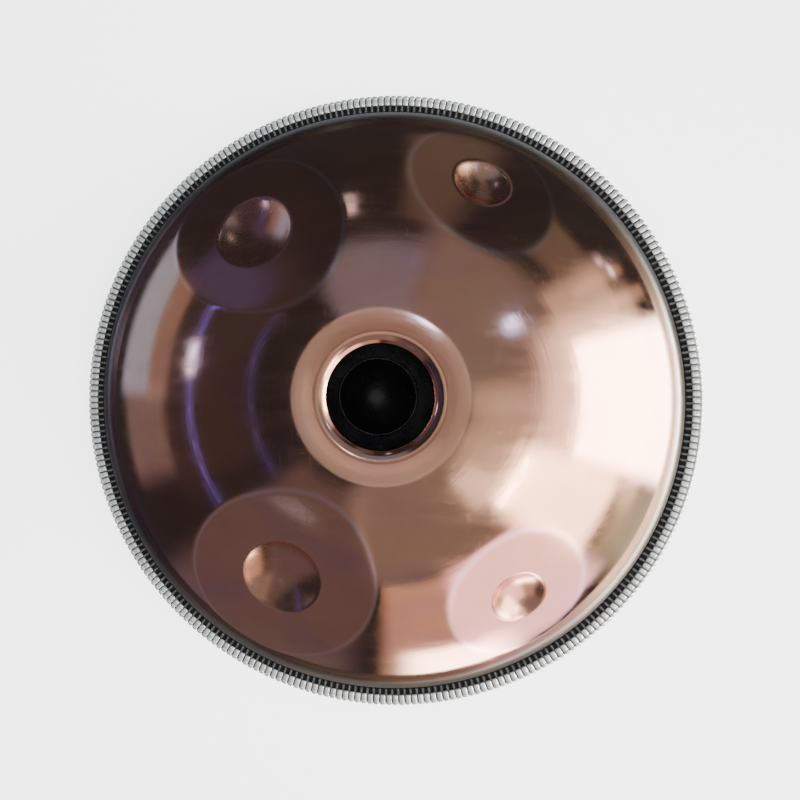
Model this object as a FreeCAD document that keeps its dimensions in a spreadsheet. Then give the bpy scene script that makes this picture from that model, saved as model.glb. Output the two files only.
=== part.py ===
import FreeCAD, Part
import math
import os
import Sketcher

# Handpan: two dished steel shells glued at their flanges, with an edge trim round the rim.
#
# The port side faces +Z and the ding side rests on the ground. The origin is on the ground,
# under the axis of the shells. Each shell is first made dome up with its mating plane at z = 0,
# and is then placed. Lengths are in millimetres and angles in degrees.

doc = FreeCAD.newDocument("Handpan")

SIZES = {
    # Sheet metal, flange and the bond between the two flanges
    "shell_thickness": 1.2,
    "bond_thickness": 0.5,
    "flange_radius": 274.5,
    "flange_fillet": 9,
    # Dome section: a crown arc, then a tighter shoulder arc down to the flange
    "crown_radius": 400,
    "shoulder_radius": 270,
    "shoulder_start": 20,
    "dome_base_radius": 259.5,
    # Port: a flat plateau, a lip that rolls part of the way over, and a short straight neck
    "plateau_foot_radius": 66,
    "plateau_radius": 56.5,
    "plateau_rise": 0.6,
    "lip_radius": 13,
    "lip_turn": 50,
    "neck_radius": 40,
    "neck_straight": 6,
    # Ding: a flat tone field with a dimple pressed into it
    "ding_field_radius": 75,
    "ding_dimple_radius": 42,
    "ding_dimple_depth": 9,
    # Edge trim: a rubber channel and a slotted metal strip over it
    "lining_inner_radius": 265,
    "lining_outer_radius": 278.4,
    "lining_half_height": 3.6,
    "lining_bevel": 2.4,
    "strip_inner_radius": 269.8,
    "strip_thickness": 1.6,
    "strip_spine_half_height": 0.8,
    "slot_width": 0.9,
    "slot_count": 304,
}

# Tone fields of the port side: azimuth from +X, turn of the field's long axis, radius from the
# axis at its inner and outer edge, rise of its crown over the chord between those edges, and
# its crown radius across. Then the dimple: how far it sits inwards of the field's middle, its
# half length and half width, and its depth under the field.
PORT_FIELDS = {
    "low_left": (-118.5, -2, 88, 252.5, 9.5, 2100, 7, 41, 35.5, 12.5),
    "high_left": (127, 4, 95, 252, 9, 2000, 4, 39, 34, 10.5),
    "high_right": (64.5, 12, 136, 252.5, 6.5, 780, 2, 29, 26, 10.5),
    "low_right": (-55.5, -6, 140, 249.5, 5.5, 830, 3, 28.5, 25, 9.5),
}

# Tone fields of the ding side, in order of azimuth: the largest is opposite the smallest.
DING_FIELD_ORDER = (0, 2, 4, 6, 7, 5, 3, 1)
DING_FIELD_SIZES = {
    "ding_fields_start": 22.5,
    "ding_field_inner_edge": 100,
    "ding_field_inner_step": 3.5,
    "ding_field_outer_edge": 250,
    "ding_field_rise": 9.5,
    "ding_field_rise_step": -0.28,
    "ding_field_cross_radius": 3000,
    "ding_field_dimple_shift": 2,
    "ding_field_dimple_length": 33,
    "ding_field_dimple_width": 29,
    "ding_field_dimple_step": -1.2,
    "ding_field_dimple_depth": 8,
}

FIELD_WORDS = (
    "azimuth", "turn", "inner_edge", "outer_edge", "rise", "cross_radius",
    "dimple_shift", "dimple_length", "dimple_width", "dimple_depth",
)

CUTTER_HEIGHT = 45      # how far a field cutter stands over the chord of its field
CUTTER_MARGIN = 1.5     # and how far it passes each end of that chord
PUNCH_MARGIN = 6        # how far a dimple's punch is wider than the dimple, each side
OVERRUN = 1             # how far a void passes the face that it opens


def fill_sheet():
    """Writes every driving dimension into the sheet, under an alias of its own."""
    cells = {**SIZES, **DING_FIELD_SIZES}
    for name, values in PORT_FIELDS.items():
        for word, value in zip(FIELD_WORDS, values):
            cells[f"{name}_{word}"] = value
    sheet = doc.addObject("Spreadsheet::Sheet", "Sizes")
    for row, (alias, value) in enumerate(cells.items(), 1):
        sheet.set(f"A{row}", alias)
        sheet.set(f"B{row}", str(value))
        sheet.setAlias(f"B{row}", alias)
    doc.recompute()


def derive(name, expression):
    """Adds a worked-out length or angle that other expressions may use."""
    derived.addProperty("App::PropertyFloat", name)
    derived.setExpression(name, expression)
    derived.recompute()
    return f"Derived.{name}"


def value(expression):
    """The number that an expression gives now."""
    result = derived.evalExpression(expression)
    return float(getattr(result, "Value", result))


fill_sheet()
derived = doc.addObject("App::VarSet", "Derived")

SKIN = "Sizes.shell_thickness"
CROWN = "Sizes.crown_radius"
SHOULDER = "Sizes.shoulder_radius"
FILLET = "Sizes.flange_fillet"

FLANGE_BOTTOM = derive("flange_bottom", "Sizes.bond_thickness / 2")
FLANGE_TOP = derive("flange_top", f"{FLANGE_BOTTOM} + {SKIN}")
SHOULDER_R = derive("shoulder_centre_radius", f"({CROWN} - {SHOULDER}) * sin(Sizes.shoulder_start)")
SHOULDER_Z = derive(
    "shoulder_centre_height",
    f"{FLANGE_TOP} - sqrt({SHOULDER}^2 - (Sizes.dome_base_radius - {SHOULDER_R})^2)",
)
CROWN_Z = derive(
    "crown_centre_height",
    f"{SHOULDER_Z} - ({CROWN} - {SHOULDER}) * cos(Sizes.shoulder_start)",
)
FILLET_Z = derive("fillet_centre_height", f"{FLANGE_TOP} + {FILLET}")
FILLET_R = derive(
    "fillet_centre_radius",
    f"{SHOULDER_R} + sqrt(({SHOULDER} + {FILLET})^2 - ({FILLET_Z} - {SHOULDER_Z})^2)",
)
CROWN_EDGE = derive("crown_edge_radius", f"{CROWN} * sin(Sizes.shoulder_start)")


def on_crown(radius, inset="0"):
    """Height of the crown arc at a radius from the axis, inset by a wall thickness."""
    return f"({CROWN_Z} + sqrt(({CROWN} - {inset})^2 - ({radius})^2))"


def on_dome(radius):
    """Height of the dome's outer face at a radius from the axis."""
    if value(radius) <= value(CROWN_EDGE):
        return on_crown(radius)
    return f"({SHOULDER_Z} + sqrt({SHOULDER}^2 - ({radius} - {SHOULDER_R})^2))"


DING_FLAT_Z = derive("ding_flat_height", on_crown("Sizes.ding_field_radius"))
PLATEAU_Z = derive(
    "plateau_height",
    f"{on_crown('Sizes.plateau_foot_radius')} + Sizes.plateau_rise",
)
LIP_R = derive(
    "lip_outer_radius", "Sizes.neck_radius + Sizes.lip_radius * sin(Sizes.lip_turn)"
)
LIP_Z = derive(
    "lip_end_height", f"{PLATEAU_Z} - Sizes.lip_radius * (1 - cos(Sizes.lip_turn))"
)
LIP_INNER_Z = derive(
    "lip_inner_end_height",
    f"{PLATEAU_Z} - Sizes.lip_radius + sqrt((Sizes.lip_radius - {SKIN})^2"
    f" - ({LIP_R} - Sizes.neck_radius - {SKIN})^2)",
)
NECK_END_Z = derive("neck_end_height", f"{LIP_Z} - Sizes.neck_straight")
BEVEL_R = derive("bevel_radius", "Sizes.lining_outer_radius - Sizes.lining_bevel")
BEVEL_Z = derive("bevel_height", "Sizes.lining_half_height - Sizes.lining_bevel")


HORIZONTAL, VERTICAL = -1, -2      # a sketch's own axes


def bind(sketch, kind, expression, *where):
    """Adds a sketch dimension and binds it to an expression."""
    index = sketch.addConstraint(Sketcher.Constraint(kind, *where, value(expression)))
    sketch.setExpression(f"Constraints[{index}]", expression)


def arc_between(start, end, radius, bulge):
    """A circle arc between two points, its centre to the left of the way from start to end if
    bulge is +1 and to the right if it is -1. Says too whether it runs from start to end."""
    middle = (start + end) / 2
    half = (end - start) / 2
    left = FreeCAD.Vector(-half.y, half.x, 0).normalize()
    centre = middle + left * bulge * (radius**2 - half.Length**2) ** 0.5
    first, last = (start, end) if bulge > 0 else (end, start)
    angles = [math.atan2(p.y - centre.y, p.x - centre.x) for p in (first, last)]
    circle = Part.Circle(centre, FreeCAD.Vector(0, 0, 1), radius)
    return Part.ArcOfCircle(circle, *angles), bulge > 0


def draw_profile(sketch, corners, arcs):
    """Draws a closed outline in a sketch. Every corner is a pair of expressions, for its
    distance from the axis and its height. arcs gives, for the corners where an arc starts, that
    arc's radius and the side of its centre."""
    points = [FreeCAD.Vector(value(x), value(y), 0) for x, y in corners]
    ends = []
    for index, start in enumerate(points):
        end = points[(index + 1) % len(points)]
        if index in arcs:
            radius, bulge = arcs[index]
            curve, forward = arc_between(start, end, value(radius), bulge)
        else:
            curve, forward = Part.LineSegment(start, end), True
        edge = sketch.addGeometry(curve, False)
        ends.append((edge, 1, 2) if forward else (edge, 2, 1))
    for index, (edge, first, last) in enumerate(ends):
        following, follow_first, _ = ends[(index + 1) % len(ends)]
        sketch.addConstraint(
            Sketcher.Constraint("Coincident", edge, last, following, follow_first)
        )
    for index, (x, y) in enumerate(corners):
        edge, first, _ = ends[index]
        for kind, where, axis in (("DistanceX", x, VERTICAL), ("DistanceY", y, HORIZONTAL)):
            if where == "0":
                on_axis = Sketcher.Constraint("PointOnObject", edge, first, axis)
                sketch.addConstraint(on_axis)
            else:
                bind(sketch, kind, where, HORIZONTAL, 1, edge, first)
        if index in arcs:
            bind(sketch, "Radius", arcs[index][0], edge)


def revolved(name, corners, arcs=None, axis="V_Axis"):
    """A body turned from a closed outline about Z (V_Axis) or about X (H_Axis)."""
    body = doc.addObject("PartDesign::Body", name)
    plane = next(f for f in body.Origin.OriginFeatures if f.Role == "XZ_Plane")
    sketch = body.newObject("Sketcher::SketchObject", f"{name}_outline")
    sketch.AttachmentSupport = [(plane, "")]
    sketch.MapMode = "FlatFace"
    draw_profile(sketch, corners, arcs or {})
    turn = body.newObject("PartDesign::Revolution", f"{name}_turn")
    turn.Profile = sketch
    turn.ReferenceAxis = (sketch, [axis])
    turn.Angle = 360
    return body


def dome_corners(inset):
    """The dome's outline from the flange up to where the crown arc starts, as corners and
    arcs, for the outer face (inset 0) or the inner face (inset by the wall)."""
    share = f"(({SHOULDER} - {inset}) / ({SHOULDER} + {FILLET}))"
    flange = f"({FLANGE_TOP} - {inset})"
    corners = [
        (FILLET_R, flange),
        (
            f"{SHOULDER_R} + ({FILLET_R} - {SHOULDER_R}) * {share}",
            f"{SHOULDER_Z} + ({FILLET_Z} - {SHOULDER_Z}) * {share}",
        ),
        (
            f"({CROWN} - {inset}) * sin(Sizes.shoulder_start)",
            f"{CROWN_Z} + ({CROWN} - {inset}) * cos(Sizes.shoulder_start)",
        ),
    ]
    arcs = [(f"{FILLET} + {inset}", -1), (f"{SHOULDER} - {inset}", 1), (f"{CROWN} - {inset}", 1)]
    return corners, arcs


def dome_form(name, inset, top):
    """A filled dome under the outer face, or the void under the inner face if inset is the
    wall. top ends the outline with corners from the crown arc to the axis, and their arcs."""
    corners, curves = dome_corners(inset)
    if inset == "0":
        foot = [("0", FLANGE_BOTTOM), ("Sizes.flange_radius", FLANGE_BOTTOM)]
        foot.append(("Sizes.flange_radius", FLANGE_TOP))
    else:
        foot = [("0", f"{FLANGE_BOTTOM} - {OVERRUN}"), (FILLET_R, f"{FLANGE_BOTTOM} - {OVERRUN}")]
    arcs = {len(foot) + index: curve for index, curve in enumerate(curves)}
    top_corners, top_arcs = top
    first_top = len(foot) + len(corners)
    for index, curve in top_arcs.items():
        arcs[first_top + index] = curve
    return revolved(name, foot + corners + top_corners, arcs)


def cut(name, base, tool):
    """One object less another."""
    result = doc.addObject("Part::Cut", name)
    result.Base = base
    result.Tool = tool
    return result


def place(piece, radius, height, tilt, azimuth, turn):
    """Puts a body on the dome: its origin at a radius and height in the meridian plane at an
    azimuth, its Z leaning outwards by tilt, and turned about that Z."""
    piece.setExpression("Placement.Base.x", f"({radius}) * cos({azimuth})")
    piece.setExpression("Placement.Base.y", f"({radius}) * sin({azimuth})")
    piece.setExpression("Placement.Base.z", height)
    turns = f"rotationz({azimuth}) * rotationy({tilt}) * rotationz({turn})"
    piece.setExpression("Placement.Rotation", turns)


def field_cutter(name, half, along, across, inset):
    """What is pressed off the dome over a tone field. Its under side is an arc of radius
    `along` swept round X, so that its radius across the field is `across` less the inset."""
    end_x = f"({half} + {CUTTER_MARGIN})"
    end_z = f"({across} - {along} + sqrt(({along} - {inset})^2 - {end_x}^2))"
    top = f"({across} + {CUTTER_HEIGHT})"
    corners = [(f"-{end_x}", end_z), (end_x, end_z), (end_x, top), (f"-{end_x}", top)]
    cutter = revolved(name, corners, {0: (f"{along} - {inset}", -1)}, "H_Axis")
    turn = cutter.Tip
    turn.Midplane = True
    turn.setExpression("Angle", f"2 * asin({end_x} / {across})")
    return cutter


def dimple_punch(name, width, along, across, inset):
    """The punch of a dimple: a wheel about X, of radius `along`, whose tread is an arc of
    radius `across`, both grown by the inset."""
    end_x = f"({width} + {PUNCH_MARGIN})"
    end_z = f"-({along} - {across} + sqrt(({across} + {inset})^2 - {end_x}^2))"
    corners = [(f"-{end_x}", end_z), (end_x, end_z), (end_x, "0"), (f"-{end_x}", "0")]
    return revolved(name, corners, {0: (f"{across} + {inset}", 1)}, "H_Axis")


def tone_field(name, forms, field):
    """Presses one tone field and its dimple into a shell's outer form and its void."""
    inner, outer, rise = field["inner_edge"], field["outer_edge"], field["rise"]
    inner_z, outer_z = on_dome(inner), on_dome(outer)
    across = field["cross_radius"]
    half = derive(f"{name}_half", f"sqrt(({outer} - {inner})^2 + ({inner_z} - {outer_z})^2) / 2")
    tilt = derive(f"{name}_tilt", f"atan(({inner_z} - {outer_z}) / ({outer} - {inner})) / 1 deg")
    along = derive(f"{name}_along", f"({half}^2 + {rise}^2) / (2 * {rise})")
    drop = f"({rise} - {along})"
    centre_r = derive(f"{name}_centre_radius", f"({inner} + {outer}) / 2 + {drop} * sin({tilt})")
    centre_z = derive(f"{name}_centre_height", f"({inner_z} + {outer_z}) / 2 + {drop} * cos({tilt})")

    width, length, depth = (field[f"dimple_{word}"] for word in ("width", "length", "depth"))
    cup_across = derive(f"{name}_cup_across", f"1 / (2 * {depth} / {width}^2 - 1 / {across})")
    cup_along = derive(f"{name}_cup_along", f"1 / (2 * {depth} / {length}^2 - 1 / {along})")
    shift = f"asin({field['dimple_shift']} / {along}) / 1 deg"
    cup_tilt = derive(f"{name}_cup_tilt", f"{tilt} - {shift}")

    crown_reach = f"({along} - {across})"
    cup_reach = f"({along} - {depth} + {cup_along})"
    pressed = []
    for side, form, inset in (("outer", forms[0], "0"), ("inner", forms[1], SKIN)):
        cutter = field_cutter(f"{name}_{side}_cutter", half, along, across, inset)
        place(
            cutter,
            f"{centre_r} + {crown_reach} * sin({tilt})",
            f"{centre_z} + {crown_reach} * cos({tilt})",
            tilt,
            field["azimuth"],
            field["turn"],
        )
        punch = dimple_punch(f"{name}_{side}_punch", width, cup_along, cup_across, inset)
        place(
            punch,
            f"{centre_r} + {cup_reach} * sin({cup_tilt})",
            f"{centre_z} + {cup_reach} * cos({cup_tilt})",
            cup_tilt,
            field["azimuth"],
            f"({field['turn']} + 90)",
        )
        flattened = cut(f"{name}_{side}_flattened", form, cutter)
        pressed.append(cut(f"{name}_{side}_dimpled", flattened, punch))
    return pressed


def port_fields():
    """The four tone fields round the port, as names of their sheet cells."""
    for name in PORT_FIELDS:
        yield name, {word: f"Sizes.{name}_{word}" for word in FIELD_WORDS}


def ding_fields():
    """The tone fields round the ding, evenly spaced, each a step smaller than the last."""
    cell = "Sizes.ding_field"
    spacing = 360 / len(DING_FIELD_ORDER)
    for place_index, rank in enumerate(DING_FIELD_ORDER):
        dimple_step = f"{rank} * {cell}_dimple_step"
        yield f"side_field_{place_index}", {
            "azimuth": f"({cell}s_start + {place_index * spacing})",
            "turn": "0",
            "inner_edge": f"({cell}_inner_edge + {rank} * {cell}_inner_step)",
            "outer_edge": f"{cell}_outer_edge",
            "rise": f"({cell}_rise + {rank} * {cell}_rise_step)",
            "cross_radius": f"{cell}_cross_radius",
            "dimple_shift": f"{cell}_dimple_shift",
            "dimple_length": f"({cell}_dimple_length + {dimple_step})",
            "dimple_width": f"({cell}_dimple_width + {dimple_step})",
            "dimple_depth": f"{cell}_dimple_depth",
        }


def shell(name, outer_top, inner_top, fields):
    """A dished shell of even thickness: its outer form, less the void under it."""
    forms = [
        dome_form(f"{name}_form", "0", outer_top),
        dome_form(f"{name}_void", SKIN, inner_top),
    ]
    for field_name, field in fields:
        forms = tone_field(field_name, forms, field)
    return cut(f"{name}_wall", *forms)


def make_ding_shell():
    """The lower shell. Its crown is a flat field with a dimple pressed into the body."""
    rim, depth = "Sizes.ding_dimple_radius", "Sizes.ding_dimple_depth"
    cup = derive("ding_cup_radius", f"({rim}^2 + {depth}^2) / (2 * {depth})")
    inner_rim = derive("ding_inner_rim", f"sqrt(({cup} + {SKIN})^2 - ({cup} - {depth} + {SKIN})^2)")
    flat = "Sizes.ding_field_radius"
    outer_top = (
        [(flat, DING_FLAT_Z), (rim, DING_FLAT_Z), ("0", f"{DING_FLAT_Z} - {depth}")],
        {1: (cup, -1)},
    )
    inner_z = f"({DING_FLAT_Z} - {SKIN})"
    inner_flat = derive("ding_inner_flat", f"sqrt(({CROWN} - {SKIN})^2 - ({inner_z} - {CROWN_Z})^2)")
    inner_top = (
        [(inner_flat, inner_z), (inner_rim, inner_z), ("0", f"{inner_z} - {depth}")],
        {1: (f"{cup} + {SKIN}", -1)},
    )
    wall = shell("ding", outer_top, inner_top, ding_fields())
    wall.Label = "ding_shell"
    wall.Placement.Rotation = FreeCAD.Rotation(FreeCAD.Vector(1, 0, 0), 180)
    wall.setExpression("Placement.Base.z", DING_FLAT_Z)
    return wall


def make_port_shell():
    """The upper shell. Its crown is a plateau whose lip rolls over into a short neck."""
    foot, top = "Sizes.plateau_foot_radius", "Sizes.plateau_radius"
    neck, lip = "Sizes.neck_radius", "Sizes.lip_radius"
    outer_top = ([(foot, on_crown(foot)), (top, PLATEAU_Z), ("0", PLATEAU_Z)], {})
    inner_top = (
        [
            (foot, on_crown(foot, SKIN)),
            (top, f"{PLATEAU_Z} - {SKIN}"),
            (LIP_R, f"{PLATEAU_Z} - {SKIN}"),
            (f"{neck} + {SKIN}", LIP_INNER_Z),
            (f"{neck} + {SKIN}", NECK_END_Z),
            ("0", NECK_END_Z),
        ],
        {2: (f"{lip} - {SKIN}", 1)},
    )
    wall = shell("port", outer_top, inner_top, port_fields())
    bore = revolved(
        "port_bore",
        [
            ("0", f"{NECK_END_Z} - {OVERRUN}"),
            (neck, f"{NECK_END_Z} - {OVERRUN}"),
            (neck, LIP_Z),
            (LIP_R, PLATEAU_Z),
            (LIP_R, f"{PLATEAU_Z} + {OVERRUN}"),
            ("0", f"{PLATEAU_Z} + {OVERRUN}"),
        ],
        {2: (lip, -1)},
    )
    opened = cut("port_opened", wall, bore)
    opened.Label = "port_shell"
    opened.setExpression("Placement.Base.z", DING_FLAT_Z)
    return opened


def make_rim_bond():
    """The ring of adhesive between the two flanges."""
    body = revolved(
        "bond",
        [
            (FILLET_R, f"-{FLANGE_BOTTOM}"),
            ("Sizes.flange_radius", f"-{FLANGE_BOTTOM}"),
            ("Sizes.flange_radius", FLANGE_BOTTOM),
            (FILLET_R, FLANGE_BOTTOM),
        ],
    )
    body.Label = "rim_bond"
    body.setExpression("Placement.Base.z", DING_FLAT_Z)
    return body


def make_trim_lining():
    """The rubber channel that is pushed over the joined flanges. Its two outer corners are
    bevelled, and so are those of the strip that lies over it."""
    inner, outer = "Sizes.lining_inner_radius", "Sizes.lining_outer_radius"
    half_height, flange = "Sizes.lining_half_height", "Sizes.flange_radius"
    body = revolved(
        "lining",
        [
            (inner, f"-{half_height}"),
            (BEVEL_R, f"-{half_height}"),
            (outer, f"-{BEVEL_Z}"),
            (outer, BEVEL_Z),
            (BEVEL_R, half_height),
            (inner, half_height),
            (inner, FLANGE_TOP),
            (flange, FLANGE_TOP),
            (flange, f"-{FLANGE_TOP}"),
            (inner, f"-{FLANGE_TOP}"),
        ],
    )
    body.Label = "trim_lining"
    body.setExpression("Placement.Base.z", DING_FLAT_Z)
    return body


def strip_slots(half_height, outer):
    """Radial slots through both legs of the strip. The lower row sits half a pitch round from
    the upper row, and both rows stop short of the middle of the spine."""
    width = value("Sizes.slot_width")
    bottom = value("Sizes.strip_spine_half_height")
    start = value("Sizes.strip_inner_radius") - OVERRUN
    length = value(outer) + OVERRUN - start
    height = value(half_height) + OVERRUN - bottom
    count = round(value("Sizes.slot_count"))
    axis = FreeCAD.Vector(0, 0, 1)
    origin = FreeCAD.Vector(0, 0, 0)
    slots = []
    for low, turn in ((bottom, 0), (-bottom - height, 0.5)):
        slot = Part.makeBox(length, width, height, FreeCAD.Vector(start, -width / 2, low))
        for index in range(count):
            copy = slot.copy()
            copy.rotate(origin, axis, 360 * (index + turn) / count)
            slots.append(copy)
    return Part.makeCompound(slots)


def make_trim_strip():
    """The springy metal strip over the rubber: one channel, slotted from both edges, so that it
    bends round the rim. The slots leave a row of ribs on each side and a zigzag spine."""
    wall = "Sizes.strip_thickness"
    corner = f"{wall} * tan(22.5)"
    inner, inside = "Sizes.strip_inner_radius", "Sizes.lining_half_height"
    groove_r = "Sizes.lining_outer_radius"
    outer = f"({groove_r} + {wall})"
    half_height = f"({inside} + {wall})"
    channel = revolved(
        "strip",
        [
            (inner, f"-{half_height}"),
            (f"{BEVEL_R} + {corner}", f"-{half_height}"),
            (outer, f"-({BEVEL_Z} + {corner})"),
            (outer, f"{BEVEL_Z} + {corner}"),
            (f"{BEVEL_R} + {corner}", half_height),
            (inner, half_height),
            (inner, inside),
            (BEVEL_R, inside),
            (groove_r, BEVEL_Z),
            (groove_r, f"-{BEVEL_Z}"),
            (BEVEL_R, f"-{inside}"),
            (inner, f"-{inside}"),
        ],
    )
    slots = doc.addObject("Part::Feature", "strip_slots")
    slots.Shape = strip_slots(half_height, outer)
    slotted = cut("strip_slotted", channel, slots)
    slotted.Label = "trim_strip"
    slotted.setExpression("Placement.Base.z", DING_FLAT_Z)
    return slotted


def check_document():
    """Stops if any object of the document has failed."""
    for item in doc.Objects:
        if {"Invalid", "Error"} & set(item.State):
            raise RuntimeError(f"{item.Name} failed: {item.State}")


def write_parts(pieces):
    """Checks each sub-part's shape and writes it to a STEP file named by its label."""
    for piece in pieces:
        shape = piece.Shape
        if shape.isNull() or not shape.isValid() or len(shape.Solids) != 1:
            raise RuntimeError(f"{piece.Label} isn't one valid solid")
        print(f"{piece.Label}: {shape.Volume / 1000:.1f} cm3, {len(shape.Faces)} faces")
    os.makedirs("parts", exist_ok=True)
    for piece in pieces:
        piece.Shape.exportStep(f"parts/{piece.Label}.step")


pieces = [
    make_ding_shell(),
    make_port_shell(),
    make_rim_bond(),
    make_trim_lining(),
    make_trim_strip(),
]
doc.recompute()
check_document()
write_parts(pieces)
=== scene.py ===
"""The looks of a handpan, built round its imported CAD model.

Two domed steel shells meet at their flanges. A rubber lining and a slotted metal strip wrap the
joint. The shells, the lining and the strip are rebuilt here as fine meshes, because a polished
shell mirrors every facet of a CAD tessellation. Shapes are worked out in millimetres above the
parting plane, dome up, and to_frame() carries them into the frame in metres.
"""

import math

import bmesh
import bpy
import numpy as np
from mathutils import Matrix, Vector


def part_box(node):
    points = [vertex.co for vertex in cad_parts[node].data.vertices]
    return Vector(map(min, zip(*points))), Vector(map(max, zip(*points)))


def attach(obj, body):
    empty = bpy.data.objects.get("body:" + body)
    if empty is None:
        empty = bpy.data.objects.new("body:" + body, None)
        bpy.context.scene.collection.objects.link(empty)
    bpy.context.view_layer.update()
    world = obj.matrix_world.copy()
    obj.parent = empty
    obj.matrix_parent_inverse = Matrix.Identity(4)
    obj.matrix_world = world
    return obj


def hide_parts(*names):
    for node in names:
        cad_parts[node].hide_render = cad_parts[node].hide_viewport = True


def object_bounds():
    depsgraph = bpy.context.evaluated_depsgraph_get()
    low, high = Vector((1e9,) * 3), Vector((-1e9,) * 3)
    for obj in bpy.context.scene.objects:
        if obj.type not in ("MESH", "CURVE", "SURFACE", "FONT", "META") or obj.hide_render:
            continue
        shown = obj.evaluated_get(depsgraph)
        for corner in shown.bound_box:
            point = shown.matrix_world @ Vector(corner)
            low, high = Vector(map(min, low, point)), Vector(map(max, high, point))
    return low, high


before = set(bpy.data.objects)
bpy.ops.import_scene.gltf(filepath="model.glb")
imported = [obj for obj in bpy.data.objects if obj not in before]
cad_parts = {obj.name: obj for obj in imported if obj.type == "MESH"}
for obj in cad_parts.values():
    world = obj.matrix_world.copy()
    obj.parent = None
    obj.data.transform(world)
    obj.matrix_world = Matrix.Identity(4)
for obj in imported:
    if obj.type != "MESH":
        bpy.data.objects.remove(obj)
CAD_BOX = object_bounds()

MM = 0.001
BOND_LOW, BOND_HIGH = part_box("rim_bond")
PARTING = (BOND_LOW.z + BOND_HIGH.z) / 2

# ---------------------------------------------------------------- driving sizes, millimetres

WALL = 1.2
BOND = (BOND_HIGH.z - BOND_LOW.z) / MM
FLANGE_R = 274.5
FILLET = 9.0
CROWN = 400.0
SHOULDER = 270.0
SHOULDER_START = math.radians(20)
DOME_BASE_R = 259.5

FOOT_R, PLATEAU_R, PLATEAU_RISE = 66.0, 56.5, 0.6
LIP, LIP_TURN = 13.0, math.radians(50)
NECK_R, NECK_LENGTH = 40.0, 6.0
DING_FIELD_R, DING_R, DING_DEPTH = 75.0, 42.0, 9.0

LINING_INNER_R, LINING_OUTER_R = 265.0, 278.4
LINING_HALF, LINING_BEVEL = 3.6, 2.4
STRIP_INNER_R, STRIP_WALL = 269.8, 1.6
STRIP_OUTER_R = LINING_OUTER_R + STRIP_WALL
STRIP_HALF = LINING_HALF + STRIP_WALL
SPINE_HALF, SLOT, SLOT_COUNT = 0.8, 0.9, 304

# How wide the rounded creases are, as the reach of the blend between two faces.
FIELD_CREASE, DIMPLE_CREASE, PLATEAU_CREASE = 0.6, 0.8, 0.25

# The distance given for a face that doesn't reach a point.
FAR_BELOW = -CROWN

# ---------------------------------------------------------------- how fine the meshes are

# The radius where the rings turn fine, inside the innermost tone field.
FIELDS_FROM = 84.0

# Points round a ring: on the tone fields, and everywhere else.
FINE, COARSE = 720, 240

# Rings over the tone fields, outside and inside, and the gap between rings nearer the axis.
OUTER_RINGS, INNER_RINGS, RING_GAP = 92, 30, 1.6

# Steps that move a ring from the plain dome onto the formed skin.
MARCH_STEPS = 16

# ---------------------------------------------------------------- worked out from those

FLANGE_BOTTOM = BOND / 2
FLANGE_TOP = FLANGE_BOTTOM + WALL


def dome_centres():
    """The centres of the shoulder arc, the crown arc and the fillet, as (radius, height)."""
    inward = (CROWN - SHOULDER) * math.sin(SHOULDER_START)
    base = math.sqrt(SHOULDER**2 - (DOME_BASE_R - inward) ** 2)
    shoulder = (inward, FLANGE_TOP - base)
    crown = (0.0, shoulder[1] - (CROWN - SHOULDER) * math.cos(SHOULDER_START))
    rise = FLANGE_TOP + FILLET - shoulder[1]
    fillet = (inward + math.sqrt((SHOULDER + FILLET) ** 2 - rise**2), FLANGE_TOP + FILLET)
    return shoulder, crown, fillet


SHOULDER_C, CROWN_C, FILLET_C = dome_centres()
SHOULDER_END = math.atan2(FILLET_C[0] - SHOULDER_C[0], FILLET_C[1] - SHOULDER_C[1])


def crown_height(radius):
    """Height of the crown arc at a radius."""
    return CROWN_C[1] + math.sqrt(CROWN**2 - radius**2)


def dome_height(radius):
    """Height of the dome at a radius, on the crown or the shoulder."""
    if radius < CROWN * math.sin(SHOULDER_START):
        return crown_height(radius)
    return SHOULDER_C[1] + math.sqrt(SHOULDER**2 - (radius - SHOULDER_C[0]) ** 2)


DING_FLAT = crown_height(DING_FIELD_R)
PLATEAU_Z = crown_height(FOOT_R) + PLATEAU_RISE
LIP_C = (NECK_R + LIP * math.sin(LIP_TURN), PLATEAU_Z - LIP)
LIP_END = PLATEAU_Z - LIP * (1 - math.cos(LIP_TURN))
NECK_END = LIP_END - NECK_LENGTH

# ---------------------------------------------------------------- the shaped faces as distances


def smooth_max(a, b, reach):
    """The larger of two distances, with the crease between them rounded over `reach`."""
    near = np.clip(1 - np.abs(a - b) / reach, 0, 1)
    return np.maximum(a, b) + reach * near**2 / 4


def turned(azimuth, tilt, turn):
    """Rotation that stands a field's own frame on the dome. Its X runs outward and down."""
    spin = Matrix.Rotation(math.radians(azimuth), 3, "Z")
    lean = Matrix.Rotation(tilt, 3, "Y")
    return np.array(spin @ lean @ Matrix.Rotation(math.radians(turn), 3, "Z"))


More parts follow.
